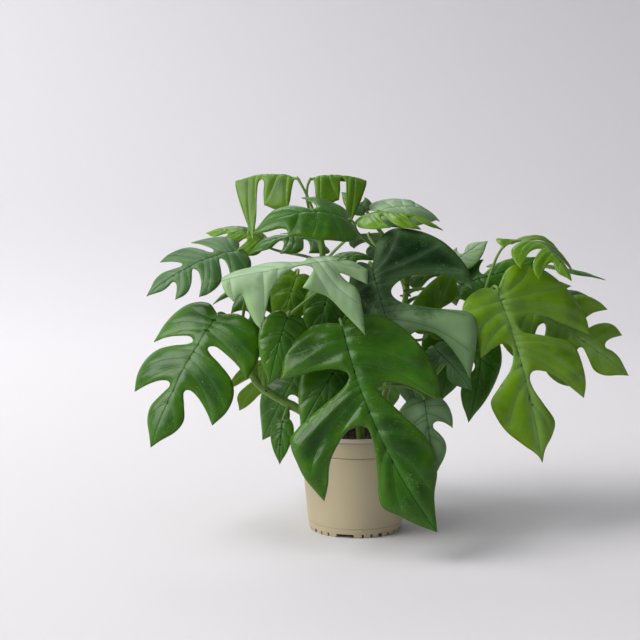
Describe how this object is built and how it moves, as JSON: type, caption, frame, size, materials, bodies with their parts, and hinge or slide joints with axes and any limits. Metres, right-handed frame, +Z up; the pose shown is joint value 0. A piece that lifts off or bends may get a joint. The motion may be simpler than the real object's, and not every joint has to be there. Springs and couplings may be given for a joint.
{
  "type": "potted mini monstera plant",
  "caption": "Potted mini monstera: deeply cut glossy green leaves on arching stems, standing in soil in a plain tapered nursery pot.",
  "frame": {"origin": "middle of the pot's foot, on the surface it stands on", "axes": "+Z up; the plant's best side looks along -Y; +X to its right as seen from there"},
  "size_m": [0.5054, 0.3208, 0.3669],
  "materials": {
    "pot_plastic": "satin taupe moulded plastic",
    "potting_soil": "damp crumbly peat",
    "stem_green": "smooth fleshy green",
    "leaf_deep": "glossy dark green leaf",
    "leaf_bright": "glossy young yellow-green leaf",
    "leaf_glaucous": "satin blue-green leaf with a pale bloom"
  },
  "bodies": {
    "root": {"leaf_arch_left": "leaf_bright", "leaf_arch_right": "leaf_bright", "leaf_back": "leaf_deep", "leaf_back_high": "leaf_glaucous", "leaf_back_left": "leaf_deep", "leaf_back_low": "leaf_glaucous", "leaf_back_low_left": "leaf_bright", "leaf_back_middle": "leaf_deep", "leaf_back_right": "leaf_deep", "leaf_broad": "leaf_deep", "leaf_centre_back": "leaf_deep", "leaf_centre_dark": "leaf_deep", "leaf_far_right": "leaf_glaucous", "leaf_front": "leaf_deep", "leaf_hanging": "leaf_deep", "leaf_inner_bright": "leaf_bright", "leaf_inner_dark": "leaf_deep", "leaf_left_low": "leaf_deep", "leaf_left_outer": "leaf_deep", "leaf_left_small": "leaf_deep", "leaf_left_upper": "leaf_glaucous", "leaf_left_young": "leaf_bright", "leaf_low_back_left": "leaf_deep", "leaf_low_back_right": "leaf_deep", "leaf_low_front": "leaf_glaucous", "leaf_low_left": "leaf_deep", "leaf_low_right": "leaf_glaucous", "leaf_mid_back": "leaf_deep", "leaf_mid_left": "leaf_deep", "leaf_pale_star": "leaf_glaucous", "leaf_right": "leaf_bright", "leaf_right_behind": "leaf_bright", "leaf_right_dark": "leaf_deep", "leaf_right_high": "leaf_deep", "leaf_right_pale": "leaf_glaucous", "leaf_top_edge": "leaf_bright", "leaf_top_left": "leaf_deep", "leaf_top_pale": "leaf_glaucous", "leaf_top_right": "leaf_bright", "leaf_top_small": "leaf_glaucous", "leaf_upper_left": "leaf_bright", "pot": "pot_plastic", "soil": "potting_soil", "stem_back": "stem_green", "stem_back_right": "stem_green", "stem_front": "stem_green", "stem_left": "stem_green", "stem_right": "stem_green"}
  },
  "joints": []
}
